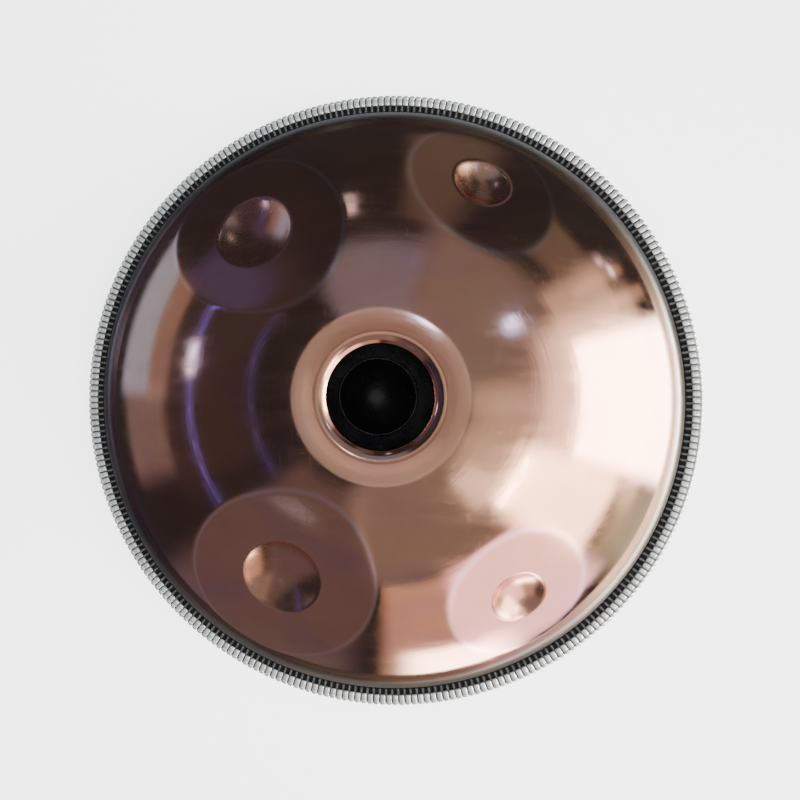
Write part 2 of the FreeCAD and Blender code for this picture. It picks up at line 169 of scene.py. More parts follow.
class ToneField:
    """One tone field: the dome is flattened to a wheel-shaped face, and a dimple is pressed in.

    The face leans with the chord between the dome's points at the inner and outer radius. It
    rises above that chord, and has the radius `cross` the other way. The dimple's length,
    width and depth are at the face, and it is shifted towards the axis.
    """

    def __init__(self, azimuth, turn, inner, outer, rise, cross, shift, length, width, depth):
        low, high = dome_height(outer), dome_height(inner)
        self.half = math.hypot(outer - inner, high - low) / 2
        self.tilt = math.atan((high - low) / (outer - inner))
        self.along = (self.half**2 + rise**2) / (2 * rise)
        self.cross = cross
        drop = rise - self.along
        centre = np.array(
            [
                (inner + outer) / 2 + drop * math.sin(self.tilt),
                0.0,
                (low + high) / 2 + drop * math.cos(self.tilt),
            ]
        )
        spin = np.array(Matrix.Rotation(math.radians(azimuth), 3, "Z"))
        self.turn = turned(azimuth, self.tilt, turn)
        self.hub = spin @ (centre + (self.along - cross) * self.normal(self.tilt))
        self.cup_across = 1 / (2 * depth / width**2 - 1 / cross)
        self.cup_along = 1 / (2 * depth / length**2 - 1 / self.along)
        cup_tilt = self.tilt - math.asin(shift / self.along)
        lift = self.along - depth + self.cup_along
        self.cup_turn = turned(azimuth, cup_tilt, turn + 90)
        self.cup_hub = spin @ (centre + lift * self.normal(cup_tilt))

    @staticmethod
    def normal(tilt):
        """The outward direction of a face that leans by `tilt`."""
        return np.array([math.sin(tilt), 0.0, math.cos(tilt)])

    def press(self, points, distance, inset):
        """Distance to the skin once this field and its dimple are formed in it."""
        formed = smooth_max(distance, self.face_distance(points, inset), FIELD_CREASE)
        return smooth_max(formed, self.cup_distance(points, inset), DIMPLE_CREASE)

    def face_distance(self, points, inset):
        """Distance to the field's own face, or far below it away from the field."""
        local = (points - self.hub) @ self.turn
        margin = 6
        reach = self.half + margin
        inside = (np.abs(local[:, 0]) < reach) & (np.abs(local[:, 1]) < reach)
        along = self.along - inset
        tread = np.sqrt(np.maximum(along**2 - local[:, 0] ** 2, 0))
        wheel = np.hypot(local[:, 1], local[:, 2]) - (self.cross - self.along) - tread
        return np.where(inside, wheel, FAR_BELOW)

    def cup_distance(self, points, inset):
        """Distance to the dimple's own face, or far below it away from the dimple."""
        local = (points - self.cup_hub) @ self.cup_turn
        across = self.cup_across + inset
        deep = (np.abs(local[:, 0]) < 0.9 * across) & (local[:, 2] < 0)
        tread = np.sqrt(np.maximum(across**2 - local[:, 0] ** 2, 0))
        cup = self.cup_along - self.cup_across + tread - np.hypot(local[:, 1], local[:, 2])
        return np.where(deep, cup, FAR_BELOW)


def dome_distance(points, inset):
    """Distance to the plain dome: the crown arc near the axis, and the shoulder arc outside."""
    radius, height = np.hypot(points[:, 0], points[:, 1]), points[:, 2]
    crown = np.hypot(radius, height - CROWN_C[1]) - (CROWN - inset)
    shoulder = np.hypot(radius - SHOULDER_C[0], height - SHOULDER_C[1]) - (SHOULDER - inset)
    on_crown = np.arctan2(radius, height - CROWN_C[1]) < SHOULDER_START
    return np.where(on_crown, crown, shoulder)


def port_crown(points, distance, inset):
    """The plateau round the port, and the shallow cone at its foot."""
    radius, height = np.hypot(points[:, 0], points[:, 1]), points[:, 2]
    slope = math.atan(PLATEAU_RISE / (FOOT_R - PLATEAU_R))
    foot_z = PLATEAU_Z - PLATEAU_RISE
    cone = (radius - FOOT_R) * math.sin(slope) + (height - foot_z) * math.cos(slope) + inset
    distance = smooth_max(distance, cone, PLATEAU_CREASE)
    return smooth_max(distance, height - PLATEAU_Z + inset, PLATEAU_CREASE)


def ding_crown(points, distance, inset):
    """The flat field in the middle of the ding side, and the dimple pressed into it."""
    radius, height = np.hypot(points[:, 0], points[:, 1]), points[:, 2]
    distance = smooth_max(distance, height - DING_FLAT + inset, PLATEAU_CREASE)
    cup_radius = (DING_R**2 + DING_DEPTH**2) / (2 * DING_DEPTH)
    cup_z = DING_FLAT - DING_DEPTH + cup_radius
    cup = cup_radius + inset - np.hypot(radius, height - cup_z)
    near = radius < DING_FIELD_R
    return smooth_max(distance, np.where(near, cup, FAR_BELOW), DIMPLE_CREASE)


# Azimuth, turn, inner and outer radius, rise, cross, shift, and the dimple's size, as seen in
# the photograph: low left, high left, high right and low right.
PORT_FIELDS = [
    ToneField(-118.5, -2, 88, 252.5, 9.5, 2100, 7, 41, 35.5, 12.5),
    ToneField(127, 4, 95, 252, 9, 2000, 4, 39, 34, 10.5),
    ToneField(64.5, 12, 136, 252.5, 6.5, 780, 2, 29, 26, 10.5),
    ToneField(-55.5, -6, 140, 249.5, 5.5, 830, 3, 28.5, 25, 9.5),
]

DING_FIELD_ORDER = (0, 2, 4, 6, 7, 5, 3, 1)


def ding_field(position, rank):
    """A tone field of the playing side. Rank 0 is the largest of the eight."""
    azimuth = 22.5 + 45 * position
    inner, outer, rise = 100 + 3.5 * rank, 250, 9.5 - 0.28 * rank
    length, width, depth = 33 - 1.2 * rank, 29 - 1.2 * rank, 8
    return ToneField(azimuth, 0, inner, outer, rise, 3000, 2, length, width, depth)


DING_FIELDS = [ding_field(position, rank) for position, rank in enumerate(DING_FIELD_ORDER)]

# ---------------------------------------------------------------- rings and meshes


def circle(radius, height, count):
    """A ring of points about the axis."""
    angle = np.arange(count) * (2 * math.pi / count)
    return np.column_stack([radius * np.cos(angle), radius * np.sin(angle), np.full(count, height)])


def arc(centre, radius, start, end, steps):
    """Points (radius, height) along an arc. Angles are from the upward direction, outward."""
    angles = np.linspace(start, end, steps)
    return [(centre[0] + radius * math.sin(a), centre[1] + radius * math.cos(a)) for a in angles]


def formed_ring(radius, height, normal, count, crown_form, fields, inset):
    """A ring on the plain dome, moved inward along the dome's normal to the formed skin."""
    ring = circle(radius, height, count)
    flat = ring[:, :2] / max(radius, 1e-9) * normal[0]
    outward = np.column_stack([flat, np.full(count, normal[1])])
    for _ in range(MARCH_STEPS):
        distance = crown_form(ring, dome_distance(ring, inset), inset)
        for field in fields:
            distance = field.press(ring, distance, inset)
        ring = ring - outward * distance[:, None]
    return ring


def dome_rings(start_r, end_angle, steps, count, crown_form, fields, inset):
    """Formed rings from a radius on the crown out to an angle on the shoulder."""
    start = math.asin(start_r / (CROWN - inset))
    crown_length = CROWN * (SHOULDER_START - start)
    whole = crown_length + SHOULDER * (end_angle - SHOULDER_START)
    rings = []
    for place in np.linspace(0, whole, steps):
        if place < crown_length:
            angle, centre, radius = start + place / CROWN, CROWN_C, CROWN - inset
        else:
            angle = SHOULDER_START + (place - crown_length) / SHOULDER
            centre, radius = SHOULDER_C, SHOULDER - inset
        normal = (math.sin(angle), math.cos(angle))
        at = (centre[0] + radius * normal[0], centre[1] + radius * normal[1])
        rings.append(formed_ring(*at, normal, count, crown_form, fields, inset))
    return rings


def band(first, a_count, second, b_count):
    """Faces between two rings. One ring's count is a whole multiple of the other's."""
    faces = []
    if a_count >= b_count:
        share = a_count // b_count
        for i in range(b_count):
            near = [first + (i * share + k) % a_count for k in range(share + 1)]
            faces.append(near + [second + (i + 1) % b_count, second + i])
    else:
        share = b_count // a_count
        for i in range(a_count):
            far = [second + (i * share + k) % b_count for k in range(share, -1, -1)]
            faces.append([first + i, first + (i + 1) % a_count] + far)
    return faces


def lofted(rings, closed):
    """Points and faces of a skin through rings. Closed joins the last ring to the first."""
    starts = np.cumsum([0] + [len(ring) for ring in rings])
    faces, strips = [], []
    pairs = [(i, i + 1) for i in range(len(rings) - 1)]
    if closed:
        pairs.append((len(rings) - 1, 0))
    for a, b in pairs:
        made = band(int(starts[a]), len(rings[a]), int(starts[b]), len(rings[b]))
        strips += [a] * len(made)
        faces += made
    return np.vstack(rings), faces, np.array(strips)


def capped(points, faces, first):
    """Closes the ring that starts at a point with a fan to its middle."""
    middle = len(points)
    fan = [[first + i, first + (i + 1) % COARSE, middle] for i in range(COARSE)]
    return np.vstack([points, points[first : first + COARSE].mean(0)]), faces + fan


def to_frame(points, side):
    """Millimetres above the parting plane, dome up, into the frame's metres.

    Side -1 is the ding side, which is turned over about X.
    """
    return points * MM * np.array([1, side, side]) + np.array([0, 0, PARTING])


def add_piece(name, points, faces, materials, slots=None):
    """A smooth-shaded mesh object that rides with the handpan."""
    mesh = bpy.data.meshes.new(name)
    mesh.from_pydata(points.tolist(), [], faces)
    for material in materials:
        mesh.materials.append(material)
    if slots is not None:
        mesh.polygons.foreach_set("material_index", np.asarray(slots, np.int32))
    mesh.polygons.foreach_set("use_smooth", np.ones(len(faces), bool))
    shape = bmesh.new()
    shape.from_mesh(mesh)
    bmesh.ops.recalc_face_normals(shape, faces=shape.faces)
    shape.to_mesh(mesh)
    shape.free()
    piece = bpy.data.objects.new(name, mesh)
    bpy.context.scene.collection.objects.link(piece)
    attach(piece, "root")
    return piece


# ---------------------------------------------------------------- materials


class Nodes:
    """A short way to build a node tree."""

    def __init__(self, name):
        self.material = bpy.data.materials.new(name)
        self.material.use_nodes = True
        self.tree = self.material.node_tree
        self.shader = self.tree.nodes["Principled BSDF"]
        self.place = self.add("ShaderNodeTexCoord").outputs["Object"]

    def add(self, kind, inputs=None, **settings):
        """A node with its settings and its inputs: plain values, or sockets to link."""
        node = self.tree.nodes.new(kind)
        for key, value in settings.items():
            setattr(node, key, value)
        for key, value in (inputs or {}).items():
            self.set(node.inputs[key], value)
        return node

    def set(self, socket, value):
        """Gives a socket a value or a link."""
        if isinstance(value, bpy.types.NodeSocket):
            self.tree.links.new(value, socket)
        else:
            socket.default_value = value

    def noise(self, scale, detail=3.0, roughness=0.5, place=None, distortion=0.0):
        """Noise from 0 to 1, at `scale` cells a metre."""
        inputs = {"Vector": place or self.place, "Scale": scale, "Detail": detail}
        inputs |= {"Roughness": roughness, "Distortion": distortion}
        return self.add("ShaderNodeTexNoise", inputs).outputs["Fac"]

    def stretched(self, scale, turn=0.0):
        """The object's coordinates, scaled by different amounts along each axis."""
        inputs = {"Vector": self.place, "Scale": scale, "Rotation": (0, 0, math.radians(turn))}
        return self.add("ShaderNodeMapping", inputs).outputs["Vector"]

    def ramp(self, factor, low, high, start=0.0, end=1.0):
        """A value mapped from start..end to low..high."""
        inputs = {"Value": factor, "From Min": start, "From Max": end}
        inputs |= {"To Min": low, "To Max": high}
        return self.add("ShaderNodeMapRange", inputs).outputs["Result"]

    def math(self, operation, a, b):
        """Arithmetic on two values or sockets."""
        return self.add("ShaderNodeMath", {0: a, 1: b}, operation=operation).outputs[0]

    def vector(self, operation, a, b=(0, 0, 0), result="Vector"):
        """Vector arithmetic. LENGTH gives its answer as result="Value"."""
        return self.add("ShaderNodeVectorMath", {0: a, 1: b}, operation=operation).outputs[result]

    def flat(self):
        """The object's coordinates with no height."""
        return self.vector("MULTIPLY", self.place, (1, 1, 0))

    def from_axis(self):
        """Distance from the axis of the shells, in metres."""
        return self.vector("LENGTH", self.flat(), result="Value")

    def attribute(self, name):
        """A value stored on the mesh's points."""
        return self.add("ShaderNodeAttribute", attribute_name=name).outputs["Fac"]

    def blend(self, factor, a, b):
        """A mix of two colours."""
        node = self.add("ShaderNodeMix", {"Factor": factor}, data_type="RGBA")
        self.set(node.inputs["A"], a)
        self.set(node.inputs["B"], b)
        return node.outputs["Result"]

    def bump(self, height, distance, strength=1.0, normal=None):
        """A bump of a given height in metres."""
        inputs = {"Height": height, "Distance": distance, "Strength": strength}
        if normal is not None:
            inputs["Normal"] = normal
        return self.add("ShaderNodeBump", inputs).outputs["Normal"]

    def finish(self, **inputs):
        """Sets the shader's sockets and returns the material."""
        for key, value in inputs.items():
            self.set(self.shader.inputs[key.replace("_", " ")], value)
        return self.material


def copper_steel():
    """Polished steel with a copper heat tint.

    The tint has soft bands and clouds, is lightened on the creases as a painted highlight, and
    gives way to bare grey on the flange. The polish has spun rings, wiped haze and fine scratches,
    and the dimples are satin.
    """
    n = Nodes("copper_tinted_steel")
    radius = n.from_axis()
    drift = n.noise(5.0, 2.0, place=n.stretched((1, 1, 1.6), 25), distortion=0.6)
    tint = n.blend(n.ramp(drift, 0, 1, 0.35, 0.65), (0.78, 0.39, 0.28, 1), (0.80, 0.46, 0.29, 1))
    bloom = n.noise(9.0, 3.0, distortion=1.2)
    tint = n.blend(n.ramp(bloom, 0, 0.5, 0.52, 0.72), tint, (0.62, 0.33, 0.36, 1))
    cloud = n.noise(34.0, 5.0, 0.6)
    tint = n.blend(n.ramp(cloud, 0, 0.22, 0.45, 0.75), tint, (0.60, 0.30, 0.18, 1))
    # Painted highlight: the tint turns light pink along the fields' creases.
    tint = n.blend(n.math("MULTIPLY", n.attribute("crease"), 0.6), tint, (0.95, 0.72, 0.66, 1))
    bare = (DOME_BASE_R - 6) * MM, (DOME_BASE_R - 1) * MM
    tint = n.blend(n.ramp(radius, 0, 1, *bare), tint, (0.38, 0.345, 0.29, 1))

    wiped = n.noise(14.0, 4.0, 0.6, place=n.stretched((1, 6, 1), -35))
    haze = n.ramp(wiped, 0.09, 0.17, 0.35, 0.7)
    scratches = n.noise(260.0, 2.0, 0.7, place=n.stretched((1, 0.06, 1), 48))
    marks = n.noise(300.0, 2.0, 0.7, place=n.stretched((0.05, 1, 1), 12))
    fine = n.math("MAXIMUM", scratches, marks)
    haze = n.math("ADD", haze, n.ramp(fine, 0, 0.06, 0.62, 0.72))
    haze = n.math("ADD", haze, n.math("MULTIPLY", n.attribute("dimple"), 0.11))
    haze = n.math("ADD", haze, n.ramp(radius, 0, 0.2, *bare))

    around = n.vector("MULTIPLY", n.vector("NORMALIZE", n.flat()), (0.05, 0.05, 0.05))
    outward = n.add("ShaderNodeCombineXYZ", {"Z": n.math("MULTIPLY", radius, 2.5)}).outputs[0]
    spun = n.noise(26.0, 3.0, 0.55, place=n.vector("ADD", around, outward), distortion=0.4)
    hammered = n.noise(11.0, 1.0)
    waves = n.bump(spun, 0.00012, normal=n.bump(hammered, 0.0004))
    pores = n.bump(fine, 0.000002, normal=waves)
    return n.finish(Base_Color=tint, Metallic=1.0, Roughness=haze, Normal=pores)


def dark_steel():
    """The unpolished inner face: dark nitrided steel with an uneven grey bloom.

    A painted highlight lightens the crease of the ding's dimple. It shows through the port.
    """
    n = Nodes("dark_nitrided_steel")
    bloom = n.noise(30.0, 5.0, 0.6)
    tint = n.blend(n.ramp(bloom, 0, 1, 0.35, 0.7), (0.07, 0.074, 0.08, 1), (0.11, 0.11, 0.115, 1))
    off_crease = n.math("ABSOLUTE", n.math("SUBTRACT", n.from_axis(), DING_R * MM), 0)
    low = n.math("LESS_THAN", n.add("ShaderNodeSeparateXYZ", {0: n.place}).outputs["Z"], PARTING)
    # Painted highlight: a pale ring on the inner face at the ding dimple's crease, below the
    # parting plane.
    crease_highlight = n.math("MULTIPLY", n.ramp(off_crease, 1, 0, 0.0002, 0.0007), low)
    tint = n.blend(crease_highlight, tint, (0.7, 0.72, 0.72, 1))
    rough = n.math("ADD", n.ramp(bloom, 0.2, 0.34, 0.3, 0.7), n.math("MULTIPLY", crease_highlight, 0.5))
    grain = n.bump(n.noise(900.0, 2.0), 0.00002)
    return n.finish(Base_Color=tint, Metallic=0.95, Roughness=rough, Normal=grain)


def strip_metal():
    """Satin silver strip, with patches of grime and faint drawing lines."""
    n = Nodes("satin_silver")
    patch = n.noise(60.0, 4.0, 0.6)
    tint = n.blend(n.ramp(patch, 0, 1, 0.4, 0.7), (0.66, 0.69, 0.66, 1), (0.46, 0.49, 0.47, 1))
    lines = n.noise(1400.0, 2.0, 0.6, place=n.stretched((1, 1, 0.1)))
    rough = n.math("ADD", n.ramp(patch, 0.3, 0.42, 0.3, 0.7), n.ramp(lines, 0, 0.1, 0.5, 0.7))
    drawn = n.bump(lines, 0.00002)
    return n.finish(Base_Color=tint, Metallic=0.86, Roughness=rough, Normal=drawn)


def lining_rubber():
    """Matt black rubber with a fine grain and a little dust."""
    n = Nodes("black_rubber")
    dust = n.noise(120.0, 5.0, 0.7)
    clean, dusty = (0.0015, 0.0015, 0.0017, 1), (0.006, 0.006, 0.006, 1)
    tint = n.blend(n.ramp(dust, 0, 1, 0.55, 0.8), clean, dusty)
    rough = n.ramp(dust, 0.5, 0.75, 0.4, 0.8)
    grain = n.bump(n.noise(2200.0, 2.0), 0.00003)
    return n.finish(Base_Color=tint, Roughness=rough, Specular_IOR_Level=0.15, Normal=grain)


def crest_highlight_rubber():
    """The crests of the lining, painted lighter grey as a highlight."""
    n = Nodes("crest_highlight_rubber")
    highlight_mottle = n.noise(300.0, 4.0, 0.7)
    # Painted highlight: both greys are lighter than the lining's black.
    tint = n.blend(n.ramp(highlight_mottle, 0, 1, 0.4, 0.7), (0.01, 0.011, 0.011, 1), (0.032, 0.034, 0.032, 1))
    rough = n.ramp(highlight_mottle, 0.55, 0.75)
    return n.finish(Base_Color=tint, Roughness=rough, Normal=n.bump(highlight_mottle, 0.00004))


def adhesive():
    """The cured glue line between the flanges, dark grey and slightly uneven."""
    n = Nodes("cured_adhesive")
    lumps = n.noise(220.0, 3.0)
    tint = n.blend(lumps, (0.03, 0.03, 0.032, 1), (0.08, 0.078, 0.075, 1))
    rough = n.ramp(lumps, 0.3, 0.5)
    return n.finish(Base_Color=tint, Roughness=rough, Normal=n.bump(lumps, 0.0001))


def floor_paint():
    """The plain pale floor."""
    n = Nodes("pale_floor")
    grain = n.noise(40.0, 3.0)
    tint = n.blend(grain, (0.86, 0.86, 0.86, 1), (0.88, 0.88, 0.88, 1))
    return n.finish(Base_Color=tint, Roughness=0.8)


COPPER, DARK = copper_steel(), dark_steel()
SILVER, RUBBER, CREST_HIGHLIGHT = strip_metal(), lining_rubber(), crest_highlight_rubber()

# ---------------------------------------------------------------- the shells


def rings_of(corners, count):
    """Plain rings through a list of (radius, height)."""
    return [circle(radius, height, count) for radius, height in corners]


def flange_rings():
    """Round the fillet, over the flange's edge and back under the fillet.

    The second list is the inner face's part of it.
    """
    edge = 0.5
    over = arc(FILLET_C, -FILLET, SHOULDER_END, 0, 8)[1:]
    over += arc((FLANGE_R - edge, FLANGE_TOP - edge), edge, 0, math.pi / 2, 4)
    over += arc((FLANGE_R - edge, FLANGE_BOTTOM + edge), edge, math.pi / 2, math.pi, 4)
    back = arc(FILLET_C, -(FILLET + WALL), 0, SHOULDER_END, 7)
    return rings_of(over + back[:1], COARSE), rings_of(back[1:], COARSE)


def plain_rings(crown_form, start_r, end_r, inset):
    """Rings on the crown between the middle and the innermost tone field.

    The inner face has fewer, except at the crease of the ding's dimple.
    """
    rings = []
    radii = np.arange(start_r, end_r, RING_GAP)
    if inset:
        radii = np.union1d(radii[::3], np.arange(DING_R - 3, DING_R + 4))
        radii = radii[radii >= start_r]
    for radius in radii:
        angle = math.asin(radius / CROWN)
        normal = (math.sin(angle), math.cos(angle))
        depth = CROWN - inset
        at = (depth * normal[0], CROWN_C[1] + depth * normal[1])
        rings.append(formed_ring(*at, normal, COARSE, crown_form, [], inset))
    return rings


def field_rings(crown_form, fields, steps, count, inset):
    """Rings over the tone fields, out to where the fillet starts."""
    return dome_rings(FIELDS_FROM, SHOULDER_END, steps, count, crown_form, fields, inset)


def store_finish(piece, points, fields):
    """Stores where the dimples are satin and where the fields' creases take a painted highlight."""
    crease_depth, crease_width, cup_reach = 0.2, 0.35, 2
    satin, crease_highlight = np.zeros(len(points)), np.zeros(len(points))
    dome = dome_distance(points, 0)
    for field in fields:
        cup, face = field.cup_distance(points, 0), field.face_distance(points, 0)
        satin = np.maximum(satin, np.clip(cup_reach - np.abs(cup), 0, 1))
        apart = np.maximum(np.abs(dome - face), np.abs(dome) - crease_depth)
        # The crease mask carries a painted highlight into the copper's colour.
        crease_highlight = np.maximum(crease_highlight, np.clip(1 - apart / crease_width, 0, 1))
    for attribute, values in (("dimple", satin), ("crease", crease_highlight)):
        layer = piece.data.attributes.new(attribute, "FLOAT", "POINT")
        layer.data.foreach_set("value", values)


def build_shell(name, node, side, crown_form, fields, start_r, top, under):
    """One shell as a closed mesh, copper outside and dark inside.

    Its rings are those given above the crown, the formed dome, the flange, the inner face, and
    those given to lead back to the first. With none given, the middle is closed with fans.
    """
    over_flange, under_flange = flange_rings()
    outside = top + plain_rings(crown_form, start_r, FIELDS_FROM, 0)
    outside += field_rings(crown_form, fields, OUTER_RINGS, FINE, 0)
    outside += over_flange
    inside = under_flange + field_rings(crown_form, fields, INNER_RINGS, COARSE, WALL)[::-1]
    inside += plain_rings(crown_form, start_r, FIELDS_FROM, WALL)[::-1] + under
    points, faces, strips = lofted(outside + inside, closed=bool(top))
    slots = np.where(strips < len(outside), 0, 1)
    if not top:
        last = len(points) - COARSE
        points, faces = capped(points, faces, 0)
        points, faces = capped(points, faces, last)
        slots = np.concatenate([slots, np.zeros(COARSE, int), np.ones(COARSE, int)])
    piece = add_piece(name, to_frame(points, side), faces, [COPPER, DARK], slots)
    store_finish(piece, points, fields)
    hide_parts(node)
    return piece


def softened(start, corner, end, steps=5):
    """Points that round a corner between two others."""
    points = []
    for share in np.linspace(0, 1, steps):
        weights = ((1 - share) ** 2, 2 * share * (1 - share), share**2)
        points.append(tuple(np.array(weights) @ np.array([start, corner, end])))
    return points


def make_port_shell():
    """The upper shell: neck, part-turned lip, plateau and four tone fields."""
    blunt = 0.6
    roll = arc(LIP_C, LIP, blunt / LIP - LIP_TURN, 0, 12)
    edge = softened((NECK_R, LIP_END - blunt), (NECK_R, LIP_END), roll[0])
    top = rings_of([(NECK_R, NECK_END)] + edge + roll[1:], COARSE)
    inner_lip = LIP - WALL
    inner_turn = math.asin((LIP_C[0] - NECK_R - WALL) / inner_lip)
    inner_roll = arc(LIP_C, inner_lip, 0, -inner_turn, 8)
    under = rings_of(inner_roll + [(NECK_R + WALL, NECK_END)], COARSE)
    start_r = LIP_C[0] + RING_GAP
    return build_shell("upper_shell", "port_shell", 1, port_crown, PORT_FIELDS, start_r, top, under)


def make_ding_shell():
    """The lower shell: a flat field with a pressed dimple, and a ring of eight tone fields."""
    return build_shell("lower_shell", "ding_shell", -1, ding_crown, DING_FIELDS, 1.0, [], [])


# ---------------------------------------------------------------- the rim trim


def make_lining():
    """The rubber channel. A ridge runs inward from each slot; its crest bears a painted highlight.

    The lower ridges are half a pitch round from the upper ones, as the slots are.
    """
    round_off, ridge_height, ridge_foot = 0.7, 1.1, 0.7
    per_slot = 6
    count = SLOT_COUNT * per_slot
    high = LINING_HALF
    lips = [(LINING_INNER_R, FLANGE_TOP)]
    lips += arc((LINING_INNER_R + round_off, high - round_off), round_off, -math.pi / 2, 0, 4)
    lips += [(LINING_INNER_R + 2.5, high), (STRIP_INNER_R - 0.4, high), (STRIP_INNER_R + 2, high)]
    lips += [(LINING_OUTER_R - LINING_BEVEL, high), (LINING_OUTER_R, high - LINING_BEVEL)]
    under = [(radius, -height) for radius, height in lips[::-1]]
    groove = [(FLANGE_R, -FLANGE_TOP), (FLANGE_R, FLANGE_TOP)]
    angle = np.arange(count) * (2 * math.pi / count)
    rings = []
    for radius, height in lips + under + groove:
        ring = circle(radius, height, count)
        if LINING_INNER_R < radius < STRIP_INNER_R and abs(height) > high - 1:
            turn = 0 if height > 0 else math.pi
            ridge = np.maximum(np.cos(SLOT_COUNT * angle + turn), 0) ** 2
            ring[:, 2] += np.sign(height) * (ridge_height * ridge - ridge_foot)
        rings.append(ring)
    points, faces, strips = lofted(rings, closed=True)
    place = np.arange(len(faces)) % per_slot
    above = (place == 0) | (place == per_slot - 1)
    below = (place == per_slot // 2 - 1) | (place == per_slot // 2)
    crest = np.where(strips < len(lips), above, below)
    shown = strips < len(lips + under) - 1
    # Crest faces take the material with the painted highlight.
    slots = np.where(crest & shown, 1, 0)
    piece = add_piece("rubber_lining", to_frame(points, 1), faces, [RUBBER, CREST_HIGHLIGHT], slots)
    piece.visible_glossy = False
    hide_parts("trim_lining")
    return piece


def rib_path():
    """The middle line of one rib, as radius, height and how far its outward side leans.

    The rib starts low at its inner end, is flat over the top, dips before the bend, and turns
    down round the corner to the spine.
    """
    half = STRIP_WALL / 2
    bend = 3.0
    top, outer = STRIP_HALF - half, STRIP_OUTER_R - half
    corner = (outer - bend, top - bend)
    path = [(STRIP_INNER_R + 0.1, top - 0.25, 0.0), (STRIP_INNER_R + 0.8, top - 0.05, 0.0)]
    path += [(radius, top, 0.0) for radius in np.linspace(STRIP_INNER_R + 1.8, corner[0] - 1.7, 3)]
    path += [(corner[0] - 0.7, top - 0.45, 0.0), (corner[0] - 0.1, top - 0.25, 0.0)]
    for angle in np.linspace(0.06, math.pi / 2, 6):
        at = (corner[0] + bend * math.sin(angle), corner[1] + bend * math.cos(angle))
        path.append((*at, angle))
    path += [(outer, 0.5, math.pi / 2), (outer, 0.1, math.pi / 2)]
    return path


def rib_cell():
    """Points and faces of one rib at azimuth 0: a rounded bar along the rib's path."""
    around, squareness, fullness, crowning = 10, 0.75, 0.47, 0.22
    tip_width, tip_height = 0.78, 0.7
    turns = (np.arange(around) + 0.5) * (2 * math.pi / around)
    across = np.sign(np.cos(turns)) * np.abs(np.cos(turns)) ** squareness
    upward = np.sign(np.sin(turns)) * np.abs(np.sin(turns)) ** squareness
    crown = 1 - crowning * across**2 * (upward > 0)
    sections = []
    for index, (radius, height, lean) in enumerate(rib_path()):
        half_width = (2 * math.pi * radius / SLOT_COUNT - SLOT) * fullness
        half_height = STRIP_WALL / 2
        if index == 0:
            half_width, half_height = half_width * tip_width, half_height * tip_height
        lift = upward * half_height * crown
        section = [radius + lift * math.sin(lean), across * half_width]
        section.append(height + lift * math.cos(lean))
        sections.append(np.column_stack(section))
    faces = []
    for i in range(len(sections) - 1):
        for k in range(around):
            a, b = i * around + k, i * around + (k + 1) % around
            faces.append([a, b, b + around, a + around])
    last = (len(sections) - 1) * around
    faces += [list(range(around))[::-1], list(range(last, last + around))]
    return np.vstack(sections), faces


def spine_rings():
    """The band round the edge that joins the upper and lower ribs, as eight rings."""
    middle, half_wall = STRIP_OUTER_R - STRIP_WALL / 2, 0.62
    rings = []
    for angle in np.arange(8) * (math.pi / 4):
        out, up = half_wall * math.sin(angle), SPINE_HALF * math.cos(angle)
        rings.append(circle(middle + out, up, SLOT_COUNT * 2))
    return rings


def make_strip():
    """The slotted strip: 304 ribs above, as many below half a pitch round, and the spine."""
    cell, cell_faces = rib_cell()
    points, faces = [], []
    for side, offset in ((1, 0.5), (-1, 0.0)):
        for index in range(SLOT_COUNT):
            turn = 2 * math.pi * (index + offset) / SLOT_COUNT
            spin = np.array(Matrix.Rotation(turn, 3, "Z"))
            start = len(points) * len(cell)
            points.append((cell * np.array([1, side, side])) @ spin.T)
            faces += [[start + v for v in face] for face in cell_faces]
    spine, spine_faces, _ = lofted(spine_rings(), closed=True)
    start = len(points) * len(cell)
    faces += [[start + v for v in face] for face in spine_faces]
    points = np.vstack(points + [spine])
    piece = add_piece("ribbed_strip", to_frame(points, 1), faces, [SILVER])
    piece.visible_glossy = False
    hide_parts("trim_strip")
    return piece


make_port_shell()
make_ding_shell()
make_lining()
make_strip()

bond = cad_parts["rim_bond"]
bond.data.materials.clear()
bond.data.materials.append(adhesive())

# ---------------------------------------------------------------- floor, light and camera


def make_floor():
    """A large pale floor. It isn't mirrored in the shell, which shows the studio instead."""
    reach, gap = 12.0, 0.2 * MM
    mesh = bpy.data.meshes.new("floor")
    corners = [(-reach, -reach, 0), (reach, -reach, 0), (reach, reach, 0), (-reach, reach, 0)]
    mesh.from_pydata(corners, [], [(0, 1, 2, 3)])
    mesh.materials.append(floor_paint())
    floor = bpy.data.objects.new("floor", mesh)
    floor.location.z = CAD_BOX[0].z - gap
    floor.visible_glossy = False
    bpy.context.scene.collection.objects.link(floor)


